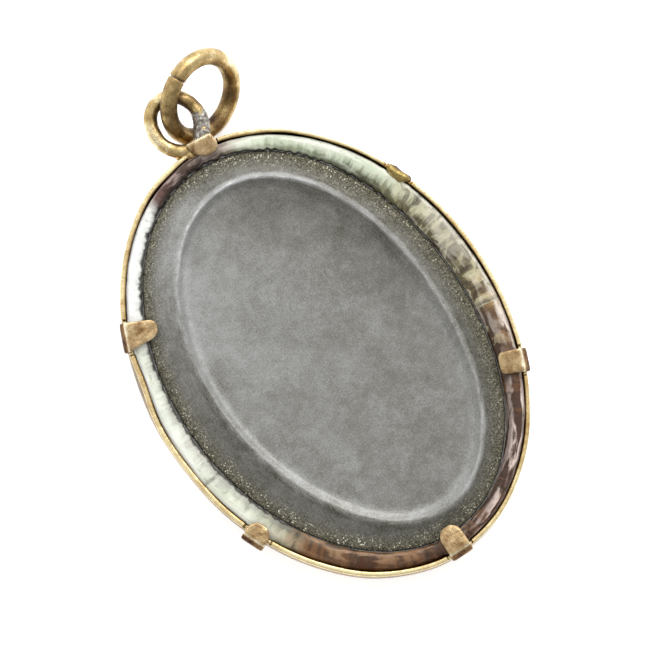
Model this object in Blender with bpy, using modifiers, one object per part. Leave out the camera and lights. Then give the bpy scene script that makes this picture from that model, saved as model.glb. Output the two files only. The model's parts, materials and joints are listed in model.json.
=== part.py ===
"""Oval photo pendant, modelled lying on its face with its back up.

A stamped brass bezel holds a celluloid-covered photo button. Brass claws, part of the same
stamping on the real pendant, fold over the button's back edge. A wire loop is soldered to the
bezel's top, and a split jump ring hangs in it.

Frame: origin at the middle of the back plate's flat floor, +Z out of the back, +Y towards the
loop, +X to the right as the back is seen. Metres.
"""

import math

import bmesh
import bpy
from mathutils import Matrix, Vector

MM = 0.001

# Bezel: half sizes of its outer oval, heights of its two edges, and its sheet
BEZEL_HALF_LENGTH = 20.91 * MM
BEZEL_HALF_WIDTH = 15.81 * MM
BEZEL_BACK = 0.60 * MM
BEZEL_FRONT = -4.40 * MM
SHEET = 0.40 * MM
OVAL_STEPS = 64

# Photo button: its wall, the bead that its cover is rolled into, and its domed front
WALL = 20.09 * MM
WALL_FRONT = -2.20 * MM
BEAD_INNER = 19.20 * MM
BEAD_TOP = 0.50 * MM
BEAD_FOOT = -0.38 * MM
DOME_EDGE = 18.90 * MM
DOME_EDGE_Z = -3.30 * MM
DOME_CROWN = -4.20 * MM
COVER_THICKNESS = 0.25 * MM
PRINT_THICKNESS = 0.10 * MM
SHELL_THICKNESS = 0.30 * MM
LAYER_GAP = 0.04 * MM

# Back plate: a flat floor inside a rounded ridge, and a slope down to its turned-in edge
PLATE_EDGE = 19.08 * MM
PLATE_EDGE_Z = 0.05 * MM
RIDGE = 17.10 * MM
RIDGE_Z = 0.45 * MM
FLOOR_EDGE = 16.00 * MM
PLATE_THICKNESS = 0.30 * MM

# Claws: angle of each from the loop's side, turning towards +X, its width and its reach inward
CLAWS = {
    "claw_top": (5.4, 2.50 * MM, 1.00 * MM),
    "claw_right": (120.0, 2.05 * MM, 2.10 * MM),
    "claw_bottom": (181.1, 2.05 * MM, 2.40 * MM),
    "claw_lower_left": (242.4, 2.15 * MM, 1.00 * MM),
    "claw_left": (301.2, 2.30 * MM, 2.80 * MM),
}
CLAW_ARCH = 0.03 * MM  # rise past the fold, and how a claw then droops with its reach squared
CLAW_DROOP = 0.045
FOLD_GAP = 0.03 * MM
BAND_TOP = -FOLD_GAP - SHEET / 2  # the band's back edge, from a claw's fold
STUB_ANGLE = 64.2
STUB_WIDTH = 2.30 * MM
RELIEF_WIDTH = 0.30 * MM
RELIEF_DEPTH = 0.45 * MM

# Wire loop soldered to the bezel
LOOP_CENTRE = Vector((0.82 * MM, 23.54 * MM, 0.22 * MM))
LOOP_HALF_WIDTH = 2.10 * MM
LOOP_HALF_LENGTH = 2.52 * MM
LOOP_WIRE = 0.60 * MM
SOLDER_PLACE = math.radians(-45.0)
SOLDER_HALF_SIZE = (0.90 * MM, 1.35 * MM, 0.82 * MM)
SOLDER_GAP = 0.03 * MM

# Split jump ring, leaning on the loop: a circle tipped about a level diameter
RING_CENTRE = Vector((3.92 * MM, 24.44 * MM, -0.75 * MM))
RING_RADIUS = 3.66 * MM
RING_WIRE = 0.75 * MM
RING_DIAMETER_HEADING = math.radians(25.0)
RING_TIP = math.radians(52.0)
RING_SPLIT = math.radians(90.0)
RING_SPLIT_GAP = 0.08 * MM
RING_SEAT = math.radians(66.0)  # where on the loop the ring rests and swings

MATERIALS = {
    "brass": ((0.62, 0.46, 0.20, 1.0), 0.32, 1.0),
    "aged_brass": ((0.42, 0.31, 0.14, 1.0), 0.42, 1.0),
    "solder": ((0.45, 0.44, 0.42, 1.0), 0.45, 1.0),
    "tinplate": ((0.17, 0.17, 0.17, 1.0), 0.55, 0.8),
    "celluloid": ((0.86, 0.84, 0.74, 1.0), 0.15, 0.0),
    "print": ((0.45, 0.33, 0.22, 1.0), 0.60, 0.0),
    "tin": ((0.50, 0.50, 0.50, 1.0), 0.40, 1.0),
}


def clear_scene():
    for obj in list(bpy.data.objects):
        bpy.data.objects.remove(obj, do_unlink=True)


def new_collection(name):
    collection = bpy.data.collections.new(name)
    bpy.context.scene.collection.children.link(collection)
    return collection


def new_material(name):
    colour, roughness, metallic = MATERIALS[name]
    material = bpy.data.materials.get(name) or bpy.data.materials.new(name)
    material.use_nodes = True
    shader = material.node_tree.nodes["Principled BSDF"]
    shader.inputs["Base Color"].default_value = colour
    shader.inputs["Roughness"].default_value = roughness
    shader.inputs["Metallic"].default_value = metallic
    material.diffuse_color = colour
    return material


def add_object(name, data, collection, material=None):
    obj = bpy.data.objects.new(name, data)
    collection.objects.link(obj)
    if material:
        data.materials.append(new_material(material))
    return obj


def as_cutter(obj):
    obj.hide_render = True
    obj.display_type = "WIRE"
    return obj


def smooth(obj):
    obj.data.shade_smooth()
    obj.data.set_sharp_from_angle(angle=math.radians(35))


def baked(obj):
    """Replace an object by the mesh that its curve or modifiers make, its caps welded."""
    bpy.context.view_layer.update()
    evaluated = obj.evaluated_get(bpy.context.evaluated_depsgraph_get())
    mesh = bpy.data.meshes.new_from_object(evaluated)
    weld = bmesh.new()
    weld.from_mesh(mesh)
    bmesh.ops.remove_doubles(weld, verts=weld.verts, dist=1e-7)
    weld.to_mesh(mesh)
    weld.free()
    name = obj.name
    collection = obj.users_collection[0]
    matrix = obj.matrix_world.copy()
    bpy.data.objects.remove(obj, do_unlink=True)
    result = bpy.data.objects.new(name, mesh)
    result.matrix_world = matrix
    collection.objects.link(result)
    return result


# --- Ovals ---------------------------------------------------------------------------------


def half_width(half_length):
    """Half width of the oval with this half length: each zone of the button has its own taper."""
    zones = (
        (0.0, 0.0),
        (16.80 * MM, 10.70 * MM),
        (BEAD_INNER, 13.35 * MM),
        (20.12 * MM, 15.02 * MM),
        (BEZEL_HALF_LENGTH, BEZEL_HALF_WIDTH),
        (2 * BEZEL_HALF_LENGTH, BEZEL_HALF_WIDTH + BEZEL_HALF_LENGTH),
    )
    for (low, narrow), (high, wide) in zip(zones, zones[1:]):
        if half_length <= high:
            return narrow + (wide - narrow) * (half_length - low) / (high - low)
    return wide


def oval_point(degrees, half_length, z=0.0):
    angle = math.radians(degrees)
    across = half_width(half_length) * math.sin(angle)
    return Vector((across, half_length * math.cos(angle), z))


def outward(degrees, half_length):
    """Unit normal of the oval at this angle."""
    angle = math.radians(degrees)
    normal = Vector((math.sin(angle) / half_width(half_length), math.cos(angle) / half_length, 0.0))
    return normal.normalized()


def squeeze_to_oval(mesh):
    """Turn a shape turned about Z into an oval one, ring by ring."""
    for vertex in mesh.vertices:
        radius = math.hypot(vertex.co.x, vertex.co.y)
        if radius > 0:
            vertex.co.x *= half_width(radius) / radius


def turned_oval(name, profile, collection, material=None, thickness=0.0):
    """An oval turned from a profile of (half length, z), with Solidify where it is a sheet."""
    outline = bpy.data.meshes.new(name)
    points = [(reach, 0.0, z) for reach, z in profile]
    edges = [(i, i + 1) for i in range(len(points) - 1)]
    outline.from_pydata(points, edges, [])
    obj = bpy.data.objects.new(name, outline)
    collection.objects.link(obj)
    screw = obj.modifiers.new("turn", "SCREW")
    screw.steps = OVAL_STEPS
    screw.render_steps = OVAL_STEPS
    screw.use_merge_vertices = True
    screw.merge_threshold = 1e-6
    obj = baked(obj)
    squeeze_to_oval(obj.data)
    if material:
        obj.data.materials.append(new_material(material))
    if thickness:
        sheet = obj.modifiers.new("sheet", "SOLIDIFY")
        sheet.thickness = thickness
        sheet.offset = -1.0
    smooth(obj)
    return obj


def arc(centre, radii, start, end, steps):
    """Points of (half length, z) on a quarter or half ellipse, angles in degrees."""
    points = []
    for i in range(steps + 1):
        angle = math.radians(start + (end - start) * i / steps)
        reach = centre[0] + radii[0] * math.cos(angle)
        points.append((reach, centre[1] + radii[1] * math.sin(angle)))
    return points


# --- Photo button --------------------------------------------------------------------------


def dome(inset):
    """Domed front from its edge to its crown, that far inside the cover's outer face."""
    stations = (DOME_EDGE, 13.5 * MM, 7.5 * MM, 0.0)
    rise = DOME_EDGE_Z - DOME_CROWN
    return [(r, DOME_CROWN + rise * (r / DOME_EDGE) ** 2 + inset) for r in stations]


def shoulder(inset):
    """Rounded corner from the wall to the dome."""
    radii = (WALL - DOME_EDGE - inset, WALL_FRONT - DOME_EDGE_Z - inset)
    return arc((DOME_EDGE, WALL_FRONT), radii, 0, -90, 4)[:-1]


def build_cover(parts):
    """Clear celluloid: domed front, wall, and the bead that is rolled over the back edge."""
    inside = [(reach, z) for reach, z in reversed(shoulder(COVER_THICKNESS) + dome(COVER_THICKNESS))]
    bead_middle = (WALL + BEAD_INNER) / 2
    bead = arc((bead_middle, 0.0), (WALL - bead_middle, BEAD_TOP), 180, 0, 8)
    root = [(WALL - COVER_THICKNESS, BEAD_FOOT), (BEAD_INNER, BEAD_FOOT)]
    profile = inside + root + bead + shoulder(0.0) + dome(0.0)
    return turned_oval("celluloid_cover", profile, parts, "celluloid")


def build_print(parts):
    """Photographic print, pressed between the celluloid and the tin shell."""
    inset = COVER_THICKNESS + LAYER_GAP
    profile = [(WALL - inset, BEAD_FOOT - LAYER_GAP)] + shoulder(inset) + dome(inset)
    return turned_oval("photo_print", profile, parts, "print", PRINT_THICKNESS)


def build_shell(parts):
    """Domed tin shell, its back edge turned in as a seat for the back plate."""
    inset = COVER_THICKNESS + PRINT_THICKNESS + 2 * LAYER_GAP
    seat = BEAD_FOOT - LAYER_GAP
    corner = 0.25 * MM
    top = arc((WALL - inset - corner, seat - corner), (corner, corner), 90, 0, 2)
    profile = [(18.4 * MM, seat)] + top + shoulder(inset) + dome(inset)
    return turned_oval("button_shell", profile, parts, "tin", SHELL_THICKNESS)


def build_back_plate(parts):
    """Stamped back plate: flat floor, rounded ridge, sloping border and turned-in edge."""
    crest = 0.45 * MM
    profile = [
        (0.0, 0.0),
        (FLOOR_EDGE, 0.0),
        (RIDGE - 0.55 * MM, 0.22 * MM),
        (RIDGE - 0.20 * MM, RIDGE_Z - 0.06 * MM),
        (RIDGE + 0.05 * MM, RIDGE_Z),
        (RIDGE + crest, RIDGE_Z - 0.05 * MM),
        (PLATE_EDGE - 0.25 * MM, PLATE_EDGE_Z + 0.06 * MM),
        (PLATE_EDGE, PLATE_EDGE_Z - 0.10 * MM),
        (PLATE_EDGE, BEAD_FOOT),
    ]
    return turned_oval("back_plate", profile, parts, "tinplate", PLATE_THICKNESS)


# --- Bezel and claws -----------------------------------------------------------------------


def fold_frame(degrees):
    """Matrix at a claw's fold: X along the fold, Y inward, Z up, at mid sheet."""
    normal = outward(degrees, BEZEL_HALF_LENGTH)
    height = BEZEL_BACK + FOLD_GAP + SHEET / 2
    place = oval_point(degrees, BEZEL_HALF_LENGTH, height) - normal * SHEET / 2
    up = Vector((0.0, 0.0, 1.0))
    axes = Matrix((up.cross(normal), -normal, up)).transposed()
    return Matrix.Translation(place) @ axes.to_4x4()


def prism(name, outline, depth, collection, matrix, material=None):
    """A flat outline extruded to a closed solid, as a mesh, in the frame of the matrix."""
    curve = bpy.data.curves.new(name, "CURVE")
    curve.dimensions = "2D"
    curve.fill_mode = "BOTH"
    curve.extrude = depth / 2
    spline = curve.splines.new("POLY")
    spline.points.add(len(outline) - 1)
    for point, (x, y) in zip(spline.points, outline):
        point.co = (x, y, 0.0, 1.0)
    spline.use_cyclic_u = True
    obj = add_object(name, curve, collection, material)
    obj.matrix_world = matrix
    return baked(obj)


def boolean(obj, operation, other):
    modifier = obj.modifiers.new(other.name, "BOOLEAN")
    modifier.operation = operation
    modifier.solver = "EXACT"
    modifier.object = other


def box(name, size, matrix, collection):
    mesh = bpy.data.meshes.new(name)
    cube = bmesh.new()
    bmesh.ops.create_cube(cube, size=1.0, matrix=Matrix.Diagonal((*size, 1.0)))
    cube.to_mesh(mesh)
    cube.free()
    obj = add_object(name, mesh, collection)
    obj.matrix_world = matrix
    return obj


def build_bezel(parts, cutters):
    """Stamped band with a turned-in front lip, relief cuts beside the claws, and a broken claw."""
    profile = [
        (BEZEL_HALF_LENGTH, BEZEL_BACK),
        (BEZEL_HALF_LENGTH, -3.70 * MM),
        (20.76 * MM, -4.13 * MM),
        (20.35 * MM, BEZEL_FRONT),
        (19.85 * MM, BEZEL_FRONT),
        (19.40 * MM, -4.25 * MM),
        (19.02 * MM, -3.80 * MM),
    ]
    bezel = turned_oval("bezel_frame", profile, parts, "brass", SHEET)
    bezel = baked(bezel)
    roots = {name: (angle, width) for name, (angle, width, reach) in CLAWS.items()}
    roots["stub"] = (STUB_ANGLE, STUB_WIDTH)
    size = (RELIEF_WIDTH, 4 * SHEET, 2 * RELIEF_DEPTH)
    for name, (angle, width) in roots.items():
        for side in (-1, 1):
            shift = Vector((side * (width + RELIEF_WIDTH) / 2, 0.0, BAND_TOP))
            place = fold_frame(angle) @ Matrix.Translation(shift)
            cut = as_cutter(box(f"relief_{name}_{side + 1}", size, place, cutters))
            boolean(bezel, "DIFFERENCE", cut)
    boolean(bezel, "UNION", build_stub(cutters))
    smooth(bezel)
    return bezel


def build_stub(cutters):
    """What is left of the broken claw: a ragged lip on the band's back edge."""
    half = STUB_WIDTH / 2
    root = BAND_TOP - 0.2 * MM
    heights = (0.02, 0.16, 0.10, 0.24, 0.18, 0.30, 0.22, 0.12, 0.02)
    step = STUB_WIDTH / (len(heights) - 1)
    ragged = [(-half + i * step, BAND_TOP + height * MM) for i, height in enumerate(heights)]
    outline = [(half, root), *reversed(ragged), (-half, root)]
    upright = fold_frame(STUB_ANGLE) @ Matrix.Rotation(math.radians(90), 4, "X")
    stub = prism("claw_stub_form", outline, SHEET * 0.96, cutters, upright)
    return as_cutter(stub)


def claw_side(reach):
    """Side outline of a claw: round root on the fold, arched over the bead, tip turned down."""
    half = SHEET / 2
    turns = [math.radians(a) for a in range(270, 89, -30)]
    root = [(half * math.cos(turn), half * math.sin(turn)) for turn in turns]
    steps = 6
    spine = [reach * (i + 1) / steps for i in range(steps)]
    line = [(x, CLAW_ARCH - CLAW_DROOP * x * x / MM) for x in spine]
    above = [(x, y + half) for x, y in line]
    below = [(x, y - half) for x, y in line]
    return root + above + below[::-1]


def claw_tongue(width, reach):
    """Plan outline of a claw: straight root, round tip."""
    half = width / 2
    depth = 0.9 * min(half, reach)
    tip = reach - depth
    rounded = [
        (half * math.cos(math.radians(a)), tip + depth * math.sin(math.radians(a)))
        for a in range(0, 181, 18)
    ]
    return [(-half, -SHEET), (half, -SHEET), *rounded]


def build_claw(name, parts, cutters):
    angle, width, reach = CLAWS[name]
    frame = fold_frame(angle)
    sideways = frame @ Matrix(((0, 0, 1, 0), (1, 0, 0, 0), (0, 1, 0, 0), (0, 0, 0, 1)))
    claw = prism(name, claw_side(reach), width * 1.2, parts, sideways, "brass")
    mesh = claw.data
    mesh.transform(frame.inverted() @ claw.matrix_world)
    claw.matrix_world = frame
    tongue = as_cutter(prism(f"{name}_outline", claw_tongue(width, reach), 4 * MM, cutters, frame))
    boolean(claw, "INTERSECT", tongue)
    smooth(claw)
    return claw


# --- Loop, solder and jump ring ------------------------------------------------------------


def wire_curve(name, points, radius, cyclic, collection, material=None):
    curve = bpy.data.curves.new(name, "CURVE")
    curve.dimensions = "3D"
    curve.bevel_depth = radius
    curve.bevel_resolution = 3
    curve.use_fill_caps = not cyclic
    spline = curve.splines.new("POLY")
    spline.points.add(len(points) - 1)
    for point, place in zip(spline.points, points):
        point.co = (*place, 1.0)
    spline.use_cyclic_u = cyclic
    return add_object(name, curve, collection, material)


def loop_point(angle):
    shift = Vector((LOOP_HALF_WIDTH * math.cos(angle), LOOP_HALF_LENGTH * math.sin(angle), 0.0))
    return LOOP_CENTRE + shift


def loop_wire(name, radius, collection, material=None):
    steps = 32
    points = [loop_point(2 * math.pi * i / steps) for i in range(steps)]
    return baked(wire_curve(name, points, radius, True, collection, material))


def bezel_plug(name, gap, collection):
    """Solid oval that fills the bezel's outline, a little larger than it."""
    steps = 128
    rim = []
    for i in range(steps):
        degrees = 360 * i / steps
        grown = oval_point(degrees, BEZEL_HALF_LENGTH) + outward(degrees, BEZEL_HALF_LENGTH) * gap
        rim.append((grown.x, grown.y))
    return as_cutter(prism(name, rim, 12 * MM, collection, Matrix.Identity(4)))


def build_loop(parts, cutters):
    """Wire loop, filed flat where it meets the bezel."""
    loop = loop_wire("bail_loop", LOOP_WIRE, parts, "aged_brass")
    boolean(loop, "DIFFERENCE", bezel_plug("bezel_plug", 0.05 * MM, cutters))
    smooth(loop)
    return loop


def build_solder(parts, cutters):
    """Solder run along the loop's right leg and against the bezel."""
    tangent = Vector(
        (-LOOP_HALF_WIDTH * math.sin(SOLDER_PLACE), LOOP_HALF_LENGTH * math.cos(SOLDER_PLACE), 0.0)
    )
    heading = math.atan2(tangent.y, tangent.x) - math.pi / 2
    place = Matrix.Translation(loop_point(SOLDER_PLACE)) @ Matrix.Rotation(heading, 4, "Z")
    mesh = bpy.data.meshes.new("bail_solder")
    lump = bmesh.new()
    bmesh.ops.create_icosphere(
        lump, subdivisions=2, radius=1.0, matrix=place @ Matrix.Diagonal((*SOLDER_HALF_SIZE, 1.0))
    )
    lump.to_mesh(mesh)
    lump.free()
    solder = add_object("bail_solder", mesh, parts, "solder")
    wire = as_cutter(loop_wire("solder_bore", LOOP_WIRE + SOLDER_GAP, cutters))
    boolean(solder, "DIFFERENCE", bezel_plug("solder_plug", 0.04 * MM, cutters))
    boolean(solder, "DIFFERENCE", wire)
    smooth(solder)
    return solder


def build_ring(parts):
    """Split jump ring: one turn of wire, its two ends almost touching."""
    across = Vector((math.cos(RING_DIAMETER_HEADING), math.sin(RING_DIAMETER_HEADING), 0.0))
    level = Vector((-across.y, across.x, 0.0))
    rise = level * math.cos(RING_TIP) + Vector((0.0, 0.0, math.sin(RING_TIP)))
    steps = 40
    gap = RING_SPLIT_GAP / RING_RADIUS
    seat = loop_point(RING_SEAT)
    points = []
    for i in range(steps + 1):
        angle = RING_SPLIT + gap / 2 + (2 * math.pi - gap) * i / steps
        spoke = across * math.cos(angle) + rise * math.sin(angle)
        points.append(RING_CENTRE + spoke * RING_RADIUS - seat)
    ring = wire_curve("jump_ring", points, RING_WIRE, False, parts, "aged_brass")
    ring.location = seat
    return ring


def build_pendant():
    clear_scene()
    parts = new_collection("photo_pendant")
    cutters = new_collection("cutters")
    build_bezel(parts, cutters)
    for name in CLAWS:
        build_claw(name, parts, cutters)
    build_cover(parts)
    build_print(parts)
    build_shell(parts)
    build_back_plate(parts)
    build_loop(parts, cutters)
    build_solder(parts, cutters)
    build_ring(parts)


build_pendant()
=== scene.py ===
"""Looks of the oval photo pendant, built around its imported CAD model.

The pendant lies on its face with its back up. Lengths in the constants and in the shapes are
millimetres, and a mesh is made in metres. Angles around the oval are turned from +Y towards +X.
"""

import json
import math

import bmesh
import bpy
import numpy as np
from mathutils import Matrix, Vector, noise


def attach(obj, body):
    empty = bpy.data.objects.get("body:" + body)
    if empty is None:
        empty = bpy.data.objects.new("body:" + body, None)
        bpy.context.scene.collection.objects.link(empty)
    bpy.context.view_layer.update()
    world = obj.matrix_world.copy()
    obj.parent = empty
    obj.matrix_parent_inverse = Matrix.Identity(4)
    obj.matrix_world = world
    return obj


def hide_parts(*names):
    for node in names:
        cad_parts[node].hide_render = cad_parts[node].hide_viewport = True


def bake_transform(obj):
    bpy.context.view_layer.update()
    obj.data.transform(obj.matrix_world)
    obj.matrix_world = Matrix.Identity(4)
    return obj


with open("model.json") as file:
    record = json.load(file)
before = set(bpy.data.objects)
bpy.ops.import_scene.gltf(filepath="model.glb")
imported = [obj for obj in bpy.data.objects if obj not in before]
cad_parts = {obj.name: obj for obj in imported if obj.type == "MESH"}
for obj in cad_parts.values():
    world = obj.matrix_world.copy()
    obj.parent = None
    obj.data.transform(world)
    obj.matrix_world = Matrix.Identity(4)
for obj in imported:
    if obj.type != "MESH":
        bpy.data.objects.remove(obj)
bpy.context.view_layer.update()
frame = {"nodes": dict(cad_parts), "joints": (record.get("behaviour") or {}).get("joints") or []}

MM = 0.001

# Band of the bezel, as its CAD node has it
HALF_LENGTH = 20.91
HALF_WIDTH = 15.81
BAND_TOP = 0.60
BAND_LOW = -0.60
TABLE = -4.40
SHEET = 0.40
RELIEF_WIDTH = 0.28
RELIEF_DEPTH = 0.45
STUB_ANGLE = 64.2
STUB_WIDTH = 2.30
CLAW_SHEET = 0.37

# Points around the oval, for each piece that follows it
BEZEL_STEPS = 1440
COVER_STEPS = 1080
PLATE_STEPS = 480

# Photo button, as its CAD nodes have it: half length of each turned shape
WALL = 20.09
WALL_FRONT = -2.20
DOME_EDGE = 18.90
DOME_EDGE_Z = -3.30
DOME_CROWN = -4.20
COVER_THICKNESS = 0.25
FRONT_TOP = -2.60
ROLL_CREST = 0.52
ROLL_FOOT = -0.35
PLATE_THICKNESS = 0.26

# Wire loop, its solder and the jump ring
LOOP_CENTRE = Vector((0.82, 23.54, 0.22))
LOOP_HALF_WIDTH = 2.10
LOOP_HALF_LENGTH = 2.52
LOOP_WIRE = 0.60
RING_CENTRE = Vector((3.92, 24.44, -0.75))
RING_RADIUS = 3.66
RING_WIRE = 0.75
RING_HEADING = math.radians(25.0)
RING_TIP = math.radians(52.0)
RING_SPLIT = math.radians(90.0)
RING_SPLIT_GAP = 0.08

# View: up in the picture, and how far the view's middle lies that way from the origin
VIEW_UP = Vector((0.5736, 0.8191, 0.0))
VIEW_SHIFT = 2.33
VIEW_TILT = math.radians(5.0)
VIEW_DISTANCE = 450.0
VIEW_WIDTH = 56.03
SENSOR = 36.0

# Light: how the sky's brightness grows towards one side, and the key lamp's power
SKY_WAY = (0.35, 0.85, 0.10)
SKY_DIM = 0.42
SKY_BRIGHT = 1.32
KEY_POWER = 1.05
FLOOR_GLOW = 0.55


# --- Shapes around the oval -------------------------------------------------------------------


def around(steps):
    """Angles of a column of points at each step around the oval."""
    return np.linspace(0.0, 2 * math.pi, steps, endpoint=False)[:, None]


def inside_rim(theta, inset):
    """X and Y this far inside the band's outer oval, along its normal."""
    normal_x = np.sin(theta) / HALF_WIDTH
    normal_y = np.cos(theta) / HALF_LENGTH
    size = np.hypot(normal_x, normal_y)
    x = HALF_WIDTH * np.sin(theta) - inset * normal_x / size
    y = HALF_LENGTH * np.cos(theta) - inset * normal_y / size
    return x, y


def turned(theta, half_length):
    """X and Y on the button's oval with this half length."""
    lengths = (0.0, 16.80, 19.20, 20.12, HALF_LENGTH)
    widths = (0.0, 10.70, 13.35, 15.02, HALF_WIDTH)
    return np.interp(half_length, lengths, widths) * np.sin(theta), half_length * np.cos(theta)


def series(theta, mean, *terms):
    """Mean plus waves around the oval: (order, cosine share, sine share)."""
    return mean + sum(c * np.cos(k * theta) + s * np.sin(k * theta) for k, c, s in terms)


def dent(theta):
    """Inward bend of the band's back edge below the left claw."""
    return 0.28 * near(theta, 289, 9)


def roll_edge(theta):
    """How far the roll's outer edge lies inside the band's outer oval; it is not quite centred."""
    return series(theta, 0.46, (1, 0.02, -0.01), (2, 0.02, 0.02)) + dent(theta)


def plate_edge(theta):
    """How far the back plate's edge lies inside the band's outer oval."""
    return series(theta, 2.14, (1, -0.11, 0.16), (2, -0.38, 0.15), (3, 0.0, -0.11))


def ridge_line(theta):
    """How far the ridge's crest lies inside the band's outer oval."""
    return series(theta, 4.65, (1, 0.06, -0.39), (2, -0.59, 0.13), (3, 0.12, -0.17))


def wander(theta, seed, lowest, highest, amount):
    """Repeatable uneven wave around the oval, of about this size either way."""
    draw = np.random.default_rng(seed)
    orders = range(lowest, highest + 1)
    wave = sum(draw.normal() * np.sin(k * theta + draw.uniform(0, 2 * math.pi)) for k in orders)
    return amount * wave / math.sqrt(len(orders))


def near(theta, degrees, width):
    """1 at this angle, falling to 0 over about the width, in degrees."""
    away = (np.degrees(theta) - degrees + 180.0) % 360.0 - 180.0
    return np.exp(-((away / width) ** 2))


def by_angle(theta, *stops):
    """Value around the oval that runs through these stops: (degrees, value) in order."""
    degrees, values = zip(*stops)
    return np.interp(np.degrees(theta) % 360.0, (*degrees, degrees[0] + 360.0), (*values, values[0]))


def compass(theta):
    """Fields for patterns that follow the rim: how far east and north each angle points."""
    return {"east": np.sin(theta), "north": np.cos(theta)}


def new_object(name, data):
    """Object of this data, linked into the scene."""
    obj = bpy.data.objects.new(name, data)
    bpy.context.scene.collection.objects.link(obj)
    return obj


def finish_mesh(name, points, faces, fields, turn):
    """Object from points in millimetres, with float fields on points and 'turn' on corners."""
    mesh = bpy.data.meshes.new(name)
    mesh.from_pydata((np.asarray(points) * MM).tolist(), [], faces)
    for field, values in fields.items():
        layer = mesh.attributes.new(field, "FLOAT", "POINT")
        layer.data.foreach_set("value", np.asarray(values, np.float32).ravel())
    if turn is not None:
        layer = mesh.attributes.new("turn", "FLOAT", "CORNER")
        layer.data.foreach_set("value", np.asarray(turn, np.float32))
    clean = bmesh.new()
    clean.from_mesh(mesh)
    bmesh.ops.remove_doubles(clean, verts=clean.verts, dist=2e-8)
    bmesh.ops.recalc_face_normals(clean, faces=clean.faces)
    clean.to_mesh(mesh)
    clean.free()
    mesh.shade_smooth()
    return new_object(name, mesh)


def loft(name, x, y, z, fields=None, closed=True):
    """Skin over a grid: rows go round (closed, or with both ends capped), columns go across."""
    x, y, z = np.broadcast_arrays(x, y, z)
    rows, columns = x.shape
    points = np.stack((x, y, z), -1).reshape(-1, 3)
    faces = []
    turn = []
    for i in range(rows if closed else rows - 1):
        here, there = i * columns, (i + 1) % rows * columns
        low, high = i / rows, (i + 1) / rows
        for j in range(columns):
            k = (j + 1) % columns
            faces.append((here + j, there + j, there + k, here + k))
            turn += (low, high, high, low)
    if not closed:
        faces.append(tuple(range(columns)))
        faces.append(tuple(range((rows - 1) * columns, rows * columns)))
        turn += [0.0] * columns + [1.0] * columns
    spread = {key: np.broadcast_to(value, (rows, columns)) for key, value in (fields or {}).items()}
    return finish_mesh(name, points, faces, spread, turn)


def sheet_section(centreline, thickness, end_steps=6):
    """Closed outline of a sheet along an open centreline, with rounded ends."""
    line = np.array(centreline, float)
    heading = np.gradient(line, axis=0)
    heading /= np.linalg.norm(heading, axis=1)[:, None]
    side = np.stack((-heading[:, 1], heading[:, 0]), 1) * thickness / 2
    turns = np.linspace(0.0, math.pi, end_steps + 2)[1:-1, None]
    last = line[-1] + side[-1] * rounded(np.cos(turns)) + heading[-1] * thickness / 2 * rounded(np.sin(turns))
    first = line[0] - side[0] * rounded(np.cos(turns)) - heading[0] * thickness / 2 * rounded(np.sin(turns))
    return np.concatenate((line + side, last, (line - side)[::-1], first))


def rounded(value, power=0.7):
    """Squarer version of a sine or cosine, for a rounded rectangle."""
    return np.sign(value) * np.abs(value) ** power


def arc(centre, radius, start, end, steps):
    turns = np.radians(np.linspace(start, end, steps + 1))
    return [(centre[0] + radius * math.cos(t), centre[1] + radius * math.sin(t)) for t in turns]


def smooth_path(points, count):
    """Points at even steps of length along a smooth curve through these ones."""
    given = np.array(points, float)
    padded = np.concatenate((2 * given[:1] - given[1:2], given, 2 * given[-1:] - given[-2:-1]))
    fine = []
    for a, b, c, d in zip(padded, padded[1:], padded[2:], padded[3:]):
        t = np.linspace(0.0, 1.0, 40, endpoint=False)[:, None]
        fine.append(0.5 * (2 * b + (c - a) * t + (2 * a - 5 * b + 4 * c - d) * t**2
                           + (3 * b - a - 3 * c + d) * t**3))
    fine = np.concatenate((*fine, given[-1:]))
    reach = np.concatenate(([0.0], np.cumsum(np.linalg.norm(np.diff(fine, axis=0), axis=1))))
    stations = np.linspace(0.0, reach[-1], count) if np.isscalar(count) else np.asarray(count) * reach[-1]
    return np.stack([np.interp(stations, reach, fine[:, k]) for k in range(given.shape[1])], 1)


# --- Materials --------------------------------------------------------------------------------


def tone(code):
    """Linear colour of a six-digit screen colour."""
    parts = [int(code[i:i + 2], 16) / 255 for i in (0, 2, 4)]
    return (*[p / 12.92 if p <= 0.04045 else ((p + 0.055) / 1.055) ** 2.4 for p in parts], 1.0)


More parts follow.
